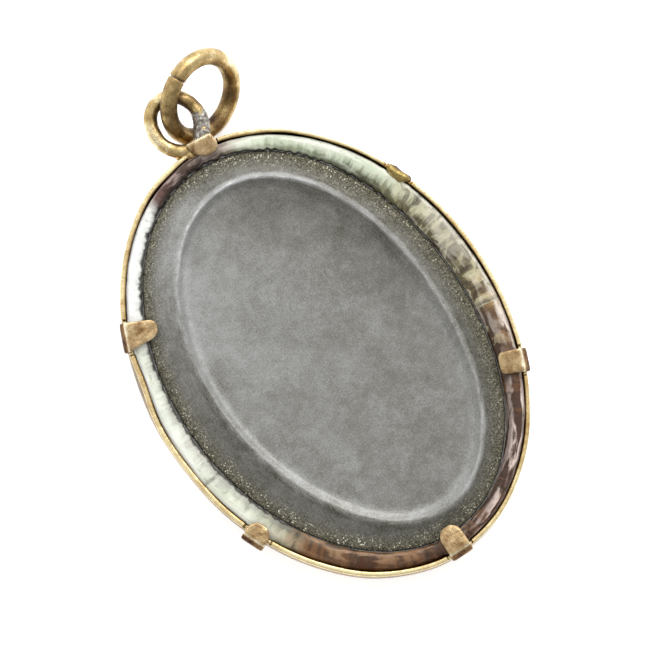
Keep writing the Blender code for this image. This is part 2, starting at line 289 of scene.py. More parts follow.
class Surface:
    """A Principled material under construction, with short calls for the nodes that feed it."""

    def __init__(self, name, **sockets):
        self.material = bpy.data.materials.new(name)
        self.material.use_nodes = True
        self.tree = self.material.node_tree
        self.shader = self.tree.nodes["Principled BSDF"]
        self.place = self.node("ShaderNodeTexCoord").outputs["Object"]
        for key, value in sockets.items():
            self.shader.inputs[key.replace("_", " ")].default_value = value

    def node(self, kind, inputs=None, **settings):
        made = self.tree.nodes.new(kind)
        for key, value in settings.items():
            setattr(made, key, value)
        for key, value in (inputs or {}).items():
            self.feed(made.inputs[key], value)
        return made

    def feed(self, socket, value):
        if isinstance(value, bpy.types.NodeSocket):
            self.tree.links.new(value, socket)
        else:
            socket.default_value = value

    def field(self, name):
        return self.node("ShaderNodeAttribute", attribute_name=name).outputs["Fac"]

    def noise(self, per_mm, detail=3.0, rough=0.55, warp=0.0, place=None):
        """Noise with about this many cells in a millimetre."""
        inputs = {"Vector": place or self.place, "Scale": per_mm / MM, "Detail": detail,
                  "Roughness": rough, "Distortion": warp}
        return self.node("ShaderNodeTexNoise", inputs).outputs[0]

    def stretched(self, along, scale=(1.0, 1.0, 1.0)):
        """Place turned about Z by an angle and scaled, for streaks and scratches."""
        inputs = {"Vector": self.place, "Rotation": (0.0, 0.0, math.radians(along)), "Scale": scale}
        return self.node("ShaderNodeMapping", inputs).outputs[0]

    def rim_place(self, along, across):
        """Place for streaks that follow the rim: about this many cells in a millimetre each way."""
        inputs = {"X": self.sum("MULTIPLY", self.field("east"), 18.0 * along),
                  "Y": self.sum("MULTIPLY", self.field("north"), 18.0 * along),
                  "Z": self.sum("MULTIPLY", self.field("across"), 1.5 * across)}
        return self.node("ShaderNodeCombineXYZ", inputs).outputs[0]

    def streaks(self, along, across, detail=4.0, rough=0.6, warp=0.0):
        place = self.rim_place(along, across)
        inputs = {"Vector": place, "Scale": 1.0, "Detail": detail, "Roughness": rough, "Distortion": warp}
        return self.node("ShaderNodeTexNoise", inputs).outputs[0]

    def specks(self, per_mm, place=None):
        inputs = {"Vector": place or self.place, "Scale": per_mm / MM}
        return self.node("ShaderNodeTexVoronoi", inputs).outputs["Distance"]

    def sum(self, kind, a, b=0.0, clamp=False):
        return self.node("ShaderNodeMath", {0: a, 1: b}, operation=kind, use_clamp=clamp).outputs[0]

    def around_zero(self, value, amount):
        """A pattern's value moved to lie either side of 0, then scaled."""
        return self.sum("MULTIPLY", self.sum("SUBTRACT", value, 0.5), amount)

    def span(self, value, low, high, to_low=0.0, to_high=1.0, smooth=True):
        """Value stretched from one span to another, and held at its ends."""
        inputs = {"Value": value, "From Min": low, "From Max": high, "To Min": to_low, "To Max": to_high}
        kind = "SMOOTHSTEP" if smooth else "LINEAR"
        return self.node("ShaderNodeMapRange", inputs, interpolation_type=kind).outputs[0]

    def ramp(self, value, *stops):
        """Colour along a value: (position, colour) in order."""
        made = self.node("ShaderNodeValToRGB", {"Fac": value})
        elements = made.color_ramp.elements
        elements[0].position, elements[1].position = stops[0][0], stops[-1][0]
        elements[0].color, elements[1].color = tone(stops[0][1]), tone(stops[-1][1])
        for position, code in stops[1:-1]:
            elements.new(position).color = tone(code)
        return made.outputs[0]

    def mix(self, share, a, b, kind="MIX"):
        made = self.node("ShaderNodeMix", {0: share}, data_type="RGBA", blend_type=kind)
        for index, value in ((6, a), (7, b)):
            self.feed(made.inputs[index], tone(value) if isinstance(value, str) else value)
        return made.outputs[2]

    def bump(self, height, distance, under=None):
        """Normal raised by this many millimetres of height, over another normal."""
        inputs = {"Height": height, "Distance": distance * MM, "Strength": 1.0}
        if under:
            inputs["Normal"] = under
        return self.node("ShaderNodeBump", inputs).outputs[0]

    def finish(self, **links):
        for key, value in links.items():
            self.feed(self.shader.inputs[key.replace("_", " ")], value)
        return self.material


def brass(name, dark, middle, light, bright, grain=1.0, patchy=1.1, flecked=0.5):
    """Old brass: brown in its recesses, and bright where its wear field is high: rubbed wear, and on the
    claws, loop and ring a painted highlight as well.
    """
    s = Surface(name, Metallic=1.0)
    patches = s.noise(0.9, 5.0, 0.6, 0.4)
    flecks = s.noise(9.0, 4.0, 0.65)
    scratch_a = s.noise(3.0, 3.0, 0.6, 0.0, s.stretched(35, (6.0, 0.5, 1.0)))
    scratch_b = s.noise(3.0, 3.0, 0.6, 0.0, s.stretched(110, (7.0, 0.4, 1.0)))
    scratches = s.sum("ADD", s.span(scratch_a, 0.60, 0.68), s.span(scratch_b, 0.62, 0.70), True)
    wear_and_highlight = s.sum("ADD", s.field("wear_and_highlight"), s.around_zero(patches, patchy))
    wear_and_highlight = s.sum("ADD", wear_and_highlight, s.around_zero(flecks, flecked))
    wear_and_highlight = s.sum("ADD", wear_and_highlight, s.sum("MULTIPLY", scratches, 0.14), True)
    colour = s.ramp(wear_and_highlight, (0.0, dark), (0.32, middle), (0.66, light), (1.0, bright))
    rough = s.span(wear_and_highlight, 0.0, 1.0, 0.48, 0.22)
    rough = s.sum("ADD", rough, s.around_zero(flecks, 0.25))
    dents = s.bump(s.noise(1.9, 3.0, 0.5), 0.05 * grain)
    fine = s.bump(flecks, 0.012 * grain, dents)
    fine = s.bump(scratches, -0.006, fine)
    return s.finish(Base_Color=colour, Roughness=rough, Normal=fine)


def solder_metal():
    """Smeared solder: grey with bright flecks, brown in its hollows and golden where it thins out."""
    s = Surface("solder_grey", Metallic=1.0)
    lumps = s.noise(1.6, 4.0, 0.6, 0.4)
    flecks = s.noise(3.8, 4.0, 0.6)
    gilt = s.sum("ADD", s.field("gilt"), s.around_zero(lumps, 1.2), True)
    colour = s.ramp(flecks, (0.34, "5C5248"), (0.47, "8E8880"), (0.58, "A8A49C"), (0.70, "E6E3DC"))
    golden = s.ramp(flecks, (0.34, "6A4E26"), (0.50, "B8925A"), (0.66, "F3DDA4"))
    colour = s.mix(s.span(gilt, 0.40, 0.62), colour, golden)
    rough = s.span(flecks, 0.35, 0.65, 0.50, 0.24)
    normal = s.bump(flecks, 0.05, s.bump(lumps, 0.08))
    return s.finish(Base_Color=colour, Roughness=rough, Normal=normal)


def tinplate():
    """Dark grey back plate: speckled border with painted glints, painted shade on the slope, a painted
    highlight on the ridge, mottled and scratched floor.
    """
    s = Surface("dark_tinplate", Metallic=0.75)
    mottle = s.noise(0.30, 5.0, 0.6, 0.6)
    cloud = s.noise(1.3, 5.0, 0.65)
    grain = s.noise(7.0, 4.0, 0.7)
    brush = s.streaks(0.5, 5.0, 4.0, 0.65, 0.2)
    dust = s.noise(16.0, 2.0, 0.6)
    # Painted light and shade from the plate's shade field, with mottled grain over it
    shade = s.sum("ADD", s.field("shade"), s.span(mottle, 0.3, 0.7, -0.05, 0.05))
    shade = s.sum("ADD", shade, s.span(cloud, 0.3, 0.7, -0.035, 0.035))
    shade = s.sum("ADD", shade, s.around_zero(brush, s.field("streak_strength")))
    shade = s.sum("ADD", shade, s.span(grain, 0.3, 0.7, -0.08, 0.08), True)
    colour = s.ramp(shade, (0.0, "1C1B18"), (0.25, "4B4940"), (0.5, "7F7E78"), (0.75, "ABABAA"),
                    (1.0, "DDDDDE"))
    border = s.field("border")
    edge_colour = s.ramp(grain, (0.34, "2E2B22"), (0.50, "5A5646"), (0.64, "908A76"))
    colour = s.mix(s.sum("MULTIPLY", border, s.span(cloud, 0.25, 0.60, 0.55, 1.0)), colour, edge_colour)
    # Painted glints: bright specks on the grainy border
    bright = s.span(s.noise(1.6, 5.0, 0.75), 0.47, 0.55)
    glint = s.sum("MULTIPLY", s.span(s.specks(4.6), 0.16, 0.40, 1.0, 0.0), bright)
    glint = s.sum("MULTIPLY", glint, s.field("glints"))
    colour = s.mix(glint, colour, "FBF6DE")
    speck = s.sum("MULTIPLY", s.span(s.specks(2.4), 0.0, 0.13, 1.0, 0.0), s.span(cloud, 0.52, 0.60))
    colour = s.mix(s.sum("MULTIPLY", speck, 0.8), colour, "D2D2CE")
    pits = s.sum("MULTIPLY", s.span(dust, 0.62, 0.72), s.sum("SUBTRACT", 1.0, border))
    colour = s.mix(s.sum("MULTIPLY", pits, 0.35), colour, "3A3936")
    scratch = s.noise(2.2, 2.0, 0.5, 0.0, s.stretched(75, (9.0, 0.25, 1.0)))
    hair = s.noise(2.8, 2.0, 0.5, 0.0, s.stretched(20, (10.0, 0.3, 1.0)))
    scratches = s.sum("ADD", s.span(scratch, 0.66, 0.72), s.span(hair, 0.68, 0.74), True)
    colour = s.mix(s.sum("MULTIPLY", scratches, 0.30), colour, "C2C2BF")
    rough = s.sum("ADD", s.span(mottle, 0.3, 0.7, 0.42, 0.50), s.sum("MULTIPLY", border, 0.10))
    height = s.sum("MULTIPLY", grain, s.span(border, 0.0, 1.0, 0.10, 1.0))
    normal = s.bump(height, 0.05, s.bump(cloud, 0.02, s.bump(scratches, -0.004)))
    return s.finish(Base_Color=colour, Roughness=rough, Normal=normal)


# Colours of the print seen through the roll by angle, with painted highlight on the outer half and painted
# shade on the inner: outer half, then inner half
ROLL_OUTER = (
    (0, "5E4A44"), (6, "7A6458"), (11, "9A8C80"), (16, "D8D8C6"), (22, "DCE4CC"), (40, "C2CEB2"),
    (60, "CED8C0"), (68, "C4C4A8"), (84, "A29A7C"), (94, "C0B896"), (104, "A88458"), (116, "6E4E38"),
    (126, "503626"), (148, "503828"), (166, "43291C"), (178, "361E0E"), (192, "42240E"), (216, "4A280C"),
    (230, "6E4A28"), (237, "BCC0A4"), (248, "E6ECD4"), (275, "F2F7E8"), (298, "ECF0DE"), (304, "FFFFFC"),
    (338, "FFFFFA"), (343, "6A4C44"), (352, "402A24"), (360, "6E5A4C"),
)
ROLL_INNER = (
    (0, "2E201A"), (7, "46362C"), (12, "7C7464"), (18, "BEC4A8"), (30, "A8B094"), (44, "7E866C"),
    (56, "50543E"), (70, "6E6A4C"), (84, "4E442E"), (94, "6A6244"), (106, "4E3822"), (116, "3E2816"),
    (140, "321E10"), (170, "3A2414"), (184, "4A3420"), (198, "4E3824"), (214, "4A341E"), (226, "6A5034"),
    (234, "5A5444"), (248, "A8AA9C"), (270, "CACABE"), (296, "C4C6BA"), (304, "F0F2EC"), (336, "E8EAE4"),
    (343, "3E2A24"), (360, "2E201A"),
)
# Where the cover is seamed across the roll: angle, and how wide the seam is in degrees
ROLL_SEAMS = ((72, 0.5), (79, 0.4), (86, 0.6), (103, 0.6), (157, 0.5), (192, 0.9), (216, 0.9), (233, 0.5),
              (260, 0.5))


def roll_print_with_painted_light(s, turn, edge, fine):
    """Colour of the print seen through the roll, with painted highlight and shade by angle, faded in patches
    and stained in others.
    """
    cross = s.streaks(0.70, 0.85, 2.5, 0.5, 1.2)
    age = s.field("age")
    outer = s.ramp(turn, *[(angle / 360, code) for angle, code in ROLL_OUTER])
    inner = s.ramp(turn, *[(angle / 360, code) for angle, code in ROLL_INNER])
    # Outer half painted lighter as a highlight, inner half painted darker as shade
    colour = s.mix(s.span(edge, 0.44, 0.66), outer, inner)
    aged = s.sum("MULTIPLY", age, s.span(turn, 0.13, 0.17, 0.0, 0.6))
    pale = s.sum("MULTIPLY", s.span(cross, 0.46, 0.41), aged)
    pale = s.sum("MULTIPLY", pale, s.span(turn, 0.80, 0.75))
    colour = s.mix(pale, colour, s.mix(s.span(turn, 0.29, 0.34), "CEC8A6", "845C38"))
    stained = s.sum("MULTIPLY", age, s.span(fine, 0.3, 0.6, 0.60, 1.0))
    dark = s.sum("MULTIPLY", s.span(cross, 0.51, 0.56), stained)
    colour = s.mix(s.sum("MULTIPLY", dark, 0.85), colour, "38271A")
    return s.mix(s.span(fine, 0.54, 0.68, 0.0, 0.30), colour, "3B2E22")


def roll_painted_gleam(s, turn, across, streak, fine):
    """Share and colour of the painted highlight streaks that run along the roll."""
    painted_gleam = s.sum("MULTIPLY", s.span(streak, 0.47, 0.58), s.span(fine, 0.30, 0.50, 0.35, 1.0))
    painted_gleam = s.sum("MULTIPLY", painted_gleam, s.field("painted_gleam"), True)
    # Painted highlight along the roll's outer flank
    painted_shine = s.sum("MULTIPLY", s.span(across, 0.12, 0.20), s.span(across, 0.34, 0.24))
    lit = s.sum("MULTIPLY", s.field("painted_shine"), s.span(fine, 0.32, 0.52, 0.2, 1.0))
    painted_gleam = s.sum("MAXIMUM", painted_gleam, s.sum("MULTIPLY", painted_shine, lit))
    colour = s.ramp(turn, (0.03, "E6D2C8"), (0.05, "F8FAEE"), (0.27, "F6F0E0"), (0.33, "F2E0D6"),
                    (0.47, "E2CCC0"), (0.51, "8E6848"), (0.65, "B08C68"), (0.68, "F8FAEE"),
                    (0.93, "FFFFFF"), (0.96, "D8C0BA"))
    return painted_gleam, colour


def front_vignette(s):
    """Plain sepia vignette that stands in for the unseen picture on the front."""
    vignette = s.sum("ADD", s.field("front"), s.around_zero(s.noise(0.12, 4.0), 0.5))
    sepia = s.ramp(vignette, (0.0, "D8C8A8"), (0.45, "B89C74"), (0.75, "7A5E40"), (1.0, "3E2C1C"))
    return s.mix(s.span(s.noise(6.0, 3.0), 0.35, 0.8, 0.0, 0.25), sepia, "5A4028")


def celluloid():
    """Glossy cover over the print: its colours by angle on the roll with painted highlights and shade, a
    sepia vignette in front.
    """
    s = Surface("celluloid_over_print", Coat_Roughness=0.12, Roughness=0.38, IOR=1.35)
    across = s.field("across")
    patch = s.streaks(0.55, 0.8, 3.0, 0.55, 0.5)
    streak = s.streaks(0.28, 2.6, 3.0, 0.5, 0.3)
    fine = s.streaks(2.2, 6.0, 4.0, 0.65)
    jag = s.streaks(1.5, 0.6, 5.0, 0.7)
    turn = s.sum("ADD", s.field("turn"), s.around_zero(patch, 0.020))
    edge = s.sum("ADD", across, s.around_zero(jag, 0.60))
    colour = roll_print_with_painted_light(s, turn, edge, fine)
    # Painted highlight: pale streaks along the roll in place of reflections
    painted_gleam, painted_gleam_colour = roll_painted_gleam(s, turn, across, streak, fine)
    colour = s.mix(painted_gleam, colour, painted_gleam_colour)
    # Darker past the print's ragged lip, where the roll tucks under the plate: the print's edge, with painted
    # shade
    past_lip = s.sum("SUBTRACT", edge, s.field("lip"))
    colour = s.mix(s.span(past_lip, 0.0, 0.16, 0.0, 0.85), colour, "2A241C")
    # Painted shade in the narrow gap between the band and the roll's outer foot
    colour = s.mix(s.span(across, 0.03, 0.14, 0.70, 0.0), colour, "2E2416")
    seam = s.sum("MULTIPLY", s.field("seam"), s.span(fine, 0.40, 0.55, 0.1, 0.6))
    colour = s.mix(seam, colour, "2A1E14")
    colour = s.mix(s.field("on_front"), colour, front_vignette(s))
    behind = s.sum("SUBTRACT", 1.0, s.field("on_front"))
    ripple = s.bump(s.sum("MULTIPLY", behind, s.sum("ADD", patch, streak)), 0.12)
    normal = s.bump(s.sum("MULTIPLY", fine, behind), 0.025, ripple)
    tucked = s.span(across, 0.80, 0.94)
    return s.finish(Base_Color=colour, Normal=normal, Coat_Weight=s.span(tucked, 0.0, 1.0, 0.25, 0.0),
                    Specular_IOR_Level=s.span(tucked, 0.0, 1.0, 0.5, 0.03))


def paper_print():
    s = Surface("sepia_print", Roughness=0.6)
    fibre = s.noise(5.0, 5.0, 0.65)
    colour = s.ramp(s.noise(0.25, 5.0, 0.6), (0.3, "6A4E34"), (0.5, "8F7250"), (0.7, "B59A72"))
    colour = s.mix(s.span(fibre, 0.4, 0.8, 0.0, 0.3), colour, "D4C29C")
    return s.finish(Base_Color=colour, Normal=s.bump(fibre, 0.01))


def plain_tin():
    s = Surface("plain_tin", Metallic=1.0)
    spangle = s.specks(0.5)
    rolled = s.noise(4.0, 3.0, 0.6, 0.0, s.stretched(0, (1.0, 8.0, 1.0)))
    colour = s.ramp(spangle, (0.0, "9A9A9C"), (0.5, "B4B4B4"), (1.0, "C8C8C6"))
    rough = s.span(rolled, 0.3, 0.7, 0.30, 0.48)
    return s.finish(Base_Color=colour, Roughness=rough, Normal=s.bump(rolled, 0.006))


def studio_floor():
    white = (1.0, 1.0, 1.0, 1.0)
    s = Surface("studio_floor", Roughness=0.9, Emission_Color=white, Emission_Strength=FLOOR_GLOW)
    colour = s.ramp(s.noise(0.02, 2.0), (0.3, "F6F6F6"), (0.7, "FAFAFA"))
    return s.finish(Base_Color=colour)


# --- Bezel and claws --------------------------------------------------------------------------

# Each claw's joint, width at its fold and its end, reach inward from the band's middle, where its
# face starts, bulge outward lower down, tip length and squareness, sideways lean, hammer dents
CLAWS = {
    "claw_top": dict(joint="top_claw_fold", width=2.30, end_width=2.35, reach=0.98, fold=-0.58,
                     bulge=0.66, tip=1.05, square=2.0, lean=-0.42, dents=0.02),
    "claw_right": dict(joint="right_claw_fold", width=2.05, end_width=1.95, reach=2.08, fold=0.10,
                       bulge=0.30, tip=0.55, square=2.8, lean=0.05, dents=0.05),
    "claw_bottom": dict(joint="bottom_claw_fold", width=2.05, end_width=2.05, reach=2.40, fold=0.14,
                        bulge=0.30, tip=1.00, square=2.0, lean=0.0, dents=0.03),
    "claw_lower_left": dict(joint="lower_left_claw_fold", width=2.15, end_width=2.20, reach=0.98,
                            fold=-0.42, bulge=0.82, tip=1.05, square=2.1, lean=0.0, dents=0.02),
    "claw_left": dict(joint="left_claw_fold", width=2.60, end_width=1.55, reach=2.80, fold=0.14, bulge=0.22,
                      tip=0.75, square=2.2, lean=-0.42, dents=0.07),
}
JOINTS = {joint["name"]: joint for joint in frame["joints"]}


def fold_axes(joint):
    """A fold's place in millimetres, its sideways direction and its inward direction."""
    place = Vector(joint["pos_m"]) / MM
    sideways = Vector(joint["axis"]).normalized()
    inward = -sideways.cross(Vector((0.0, 0.0, 1.0)))
    return place, sideways, inward


def stub_axes():
    """The broken claw's place in millimetres, its sideways direction and its inward direction."""
    spot = math.radians(STUB_ANGLE)
    x, y = inside_rim(np.array([spot]), SHEET / 2)
    place = Vector((float(x[0]), float(y[0]), 0.0))
    inward = -Vector((math.sin(spot) / HALF_WIDTH, math.cos(spot) / HALF_LENGTH, 0.0)).normalized()
    return place, Vector((0.0, 0.0, 1.0)).cross(inward), inward


def along_fold(x, y, place, sideways):
    """How far points lie sideways from a fold, or a large number on the band's other side."""
    side = (x - place.x) * sideways.x + (y - place.y) * sideways.y
    away = np.hypot(x - place.x, y - place.y)
    return np.where(away < 5.0, side, 99.0)


def band_height(theta):
    """Height of the band's back edge: cut beside and under each claw, ragged at the broken one."""
    x, y = inside_rim(theta, SHEET / 2)
    top = BAND_TOP + wander(theta, 3, 3, 24, 0.012)
    for claw in CLAWS.values():
        place, sideways, inward = fold_axes(JOINTS[claw["joint"]])
        side = np.abs(along_fold(x, y, place, sideways))
        top = np.where(side < claw["width"] / 2 + RELIEF_WIDTH, BAND_TOP - RELIEF_DEPTH, top)
    place, sideways, inward = stub_axes()
    side = along_fold(x, y, place, sideways)
    cut = (np.abs(side) >= STUB_WIDTH / 2) & (np.abs(side) < STUB_WIDTH / 2 + RELIEF_WIDTH)
    top = np.where(cut, BAND_TOP - RELIEF_DEPTH, top)
    ragged = -0.22 + 0.10 * np.sin(7.0 * side) + 0.07 * np.sin(17.0 * side + 1.0)
    return np.where(np.abs(side) < STUB_WIDTH / 2, BAND_TOP + ragged, top)


def build_bezel():
    theta = around(BEZEL_STEPS)
    wall = [(SHEET / 2, z) for z in (0.40, 0.34, 0.22, 0.05, -0.20, -0.60, -1.40, -2.40, -3.20)]
    foot = arc((0.80, -3.60), 0.60, 180, 270, 8)
    lip = [(0.95, TABLE + SHEET / 2)] + arc((1.10, -3.58), 0.62, 270, 345, 6)
    section = sheet_section(wall + foot + lip, SHEET)
    section_inset, section_z = section[:, 0][None, :], section[:, 1][None, :]
    thick = 1.04 - 0.14 * np.sin(theta) + wander(theta, 5, 2, 30, 0.025)
    inset = np.where(section_z > -1.0, section_inset * thick, section_inset)
    inset = inset + wander(theta, 7, 3, 16, 0.025) + dent(theta) * np.clip((section_z + 3.0) / 3.0, 0.0, 1.0)
    rise = (band_height(theta) - BAND_LOW) / (BAND_TOP - BAND_LOW)
    z = np.where(section_z > BAND_LOW, BAND_LOW + (section_z - BAND_LOW) * rise, section_z)
    x, y = inside_rim(theta, inset)
    inner = section_inset > SHEET * 0.75
    back = np.clip((section_z - 0.28) / 0.25, 0.0, 1.0)
    front = np.clip((-3.9 - section_z) / 0.4, 0.0, 1.0) * 0.30
    wear_and_highlight = np.where(inner, 0.20 + 0.50 * np.clip((section_z - 0.44) / 0.12, 0, 1), 0.42 + 0.50 * back + front)
    wear_and_highlight = wear_and_highlight + 0.10 * wander(theta, 11, 1, 9, 1.0) - 0.7 * near(theta, STUB_ANGLE, 3.2) * (section_z > 0.0)
    return loft("bezel", x, y, z, {"wear_and_highlight": wear_and_highlight})


def strap(name, shares, path, widths, sheet, place, sideways, inward, wear_and_highlight, dents):
    """Strip of sheet along a path from a fold, with its width either side of the middle."""
    heading = np.gradient(path, axis=0)
    heading /= np.linalg.norm(heading, axis=1)[:, None]
    lift = np.stack((-heading[:, 1], heading[:, 0]), 1)
    turns = np.linspace(0.0, 2 * math.pi, 48, endpoint=False)
    half = (widths[0] + widths[1]) / 2
    side = half[:, None] * rounded(np.cos(turns), 0.30) + ((widths[1] - widths[0]) / 2)[:, None]
    crown = sheet[:, None] * rounded(np.sin(turns), 0.62)
    along = path[:, 0][:, None] + lift[:, 0][:, None] * crown
    height = path[:, 1][:, None] + lift[:, 1][:, None] * crown
    points = np.stack([along * inward[k] + side * sideways[k] + place[k] for k in range(3)], -1)
    points[..., 2] += height
    # Edges rubbed bright and partly a painted highlight; darker on the underside
    rim = np.abs(np.cos(turns))[None, :] ** 10
    wear_and_highlight = wear_and_highlight[:, None] + 0.30 * rim - 0.45 * (np.sin(turns)[None, :] < -0.2)
    for row in range(points.shape[0]):
        for column in range(points.shape[1]):
            spot = Vector(points[row, column])
            points[row, column, 2] += dents[row] * noise.noise(spot * 1.3)
    return loft(name, points[..., 0], points[..., 1], points[..., 2], {"wear_and_highlight": wear_and_highlight}, closed=False)


def build_stub():
    """Root of the broken claw: a ragged tab bent in over the roll, brown below and rubbed on top."""
    place, sideways, inward = stub_axes()
    shares = np.linspace(0.0, 1.0, 40)
    route = [(-0.02, -0.5), (-0.12, 0.05), (-0.16, 0.34), (0.0, 0.56), (0.24, 0.50), (0.58, 0.40)]
    path = smooth_path(route, shares)
    torn = 0.10 * np.sin(shares * 9.0) + 0.08 * np.sin(shares * 23.0 + 1.0)
    narrow = STUB_WIDTH / 2 * (1.0 - 0.55 * np.clip(shares * 2.0 - 1.0, 0, 1) ** 2)
    sheet = SHEET / 2 * np.sqrt(1.0 - np.clip((shares - 0.93) / 0.08, 0.0, 0.97) ** 2)
    wear_and_highlight = 0.12 + 0.55 * np.clip((shares - 0.50) / 0.1, 0.0, 1.0)
    widths = (narrow + torn, narrow - 0.6 * torn)
    stub = strap("stub_root", shares, path, widths, sheet, place, sideways, inward, wear_and_highlight, 0.10 * shares)
    for vertex in stub.data.vertices:
        spot = vertex.co / MM
        jag = 0.16 * noise.noise(spot * 1.7) + 0.08 * noise.noise(spot * 5.0)
        vertex.co += inward * (jag * min(max(spot.z, 0.0) / 0.3, 1.0) * MM)
    return stub


def build_claw(name, joint, width, end_width, reach, fold, bulge, tip, square, lean, dents):
    """Strap that rises from the band's wall, folds over its edge and lies on the roll."""
    place, sideways, inward = fold_axes(JOINTS[joint])
    route = [(0.02, -1.35), (-0.04, -1.05), (-bulge * 0.80, -0.66), (-bulge, -0.34),
             (fold * 0.55 - bulge * 0.45, -0.02), (fold - 0.02, 0.17), (fold + 0.14, 0.215)]
    span = reach - fold
    route += [(fold + span * share, 0.215 - 0.085 * (span * share) ** 1.5) for share in (0.35, 0.6, 0.8, 1.0)]
    steps = np.linalg.norm(np.diff(np.array(route), axis=0), axis=1)
    length = steps.sum()
    bend = steps[:5].sum() / length
    body = np.linspace(0.0, 1.0 - tip / length, 76, endpoint=False)
    end = 1.0 - tip / length + tip / length * np.sin(np.linspace(0.0, math.pi / 2, 34))
    shares = np.concatenate((body, end))
    path = smooth_path(route, shares)
    left = np.clip(length * (1.0 - shares), 0.0, None)
    shape = (1.0 - np.clip(1.0 - left / tip, 0.0, 1.0) ** square) ** (1.0 / square)
    face = np.clip((shares - bend) / (1.0 - bend), 0.0, 1.0)
    full = width + (end_width - width) * face**0.8
    half = full / 2 * np.maximum(shape, 0.02)
    shift = lean * face
    sheet = CLAW_SHEET / 2 * np.sqrt(1.0 - np.clip(1.0 - left / 0.20, 0.0, 0.97) ** 2)
    past = (shares - bend) * length
    # Darker where the strap rises up the band's wall, a bright line along the fold that is partly rubbed and
    # partly a painted highlight, the end brighter
    wear_and_highlight = np.where(past < 0.0, 0.15, 0.52) + 0.45 * np.exp(-((past / 0.09) ** 2))
    wear_and_highlight = wear_and_highlight + 0.20 * np.clip(1 - left / 0.2, 0, 1)
    spread = dents * np.clip(past / 0.3, 0.0, 1.0)
    widths = (half - shift, half + shift)
    obj = strap(name, shares, path, widths, sheet, place, sideways, inward, wear_and_highlight, spread)
    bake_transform(obj)
    return obj


# --- Photo button -----------------------------------------------------------------------------


def dome(inset):
    """Front of the button, from its crown to its edge: half length and height."""
    reach = np.linspace(0.0, 1.0, 22)
    rise = DOME_EDGE_Z - DOME_CROWN
    return np.stack((DOME_EDGE * reach, DOME_CROWN + rise * reach**2 + inset), 1)


def shoulder(inset):
    turns = np.radians(np.linspace(-90.0, 0.0, 9))[1:]
    reach = DOME_EDGE + (WALL - DOME_EDGE - inset) * np.cos(turns)
    return np.stack((reach, WALL_FRONT + (WALL_FRONT - DOME_EDGE_Z - inset) * np.sin(turns)), 1)


def roll_fields(theta, across):
    """Fields of the roll by angle: how aged it is, where its painted highlights lie, and where its lip ends.
    """
    age = by_angle(theta, (0, 0.6), (14, 0.10), (60, 0.25), (72, 0.8), (104, 0.9), (120, 0.6), (180, 0.5),
                   (232, 0.6), (240, 0.15), (300, 0.1), (340, 0.1), (345, 0.8))
    # Where the painted highlights lie on the roll's outer and inner halves
    painted_gleam_out = by_angle(theta, (0, 0.7), (14, 0.9), (60, 0.9), (75, 0.7), (100, 0.8), (120, 1.0),
                         (170, 0.9), (180, 0.15), (232, 0.2), (240, 0.8), (300, 0.9), (340, 0.9), (345, 0.5))
    painted_gleam_in = 0.85 * by_angle(theta, (0, 0.5), (60, 0.3), (110, 0.3), (170, 0.3), (183, 0.85),
                               (232, 0.9), (240, 0.1), (340, 0.1), (345, 0.5))
    lip = by_angle(theta, (0, 0.66), (14, 0.74), (60, 0.82), (75, 0.86), (230, 0.86), (245, 0.68),
                   (300, 0.64), (343, 0.62))
    painted_shine = by_angle(theta, (0, 0.3), (14, 0.7), (60, 0.9), (110, 0.9), (130, 0.6), (170, 0.3), (180, 0.0),
                     (235, 0.1), (245, 0.9), (340, 0.9), (345, 0.2))
    middle = 0.40 - 0.14 * near(theta, 80, 30) + 0.10 * near(theta, 145, 30)
    inner = np.clip((across[None, :] - middle) / 0.12, 0.0, 1.0)
    painted_gleam = painted_gleam_out * (1.0 - inner) + painted_gleam_in * inner
    return {"age": age, "painted_shine": painted_shine, "lip": lip, "painted_gleam": painted_gleam, **compass(theta)}


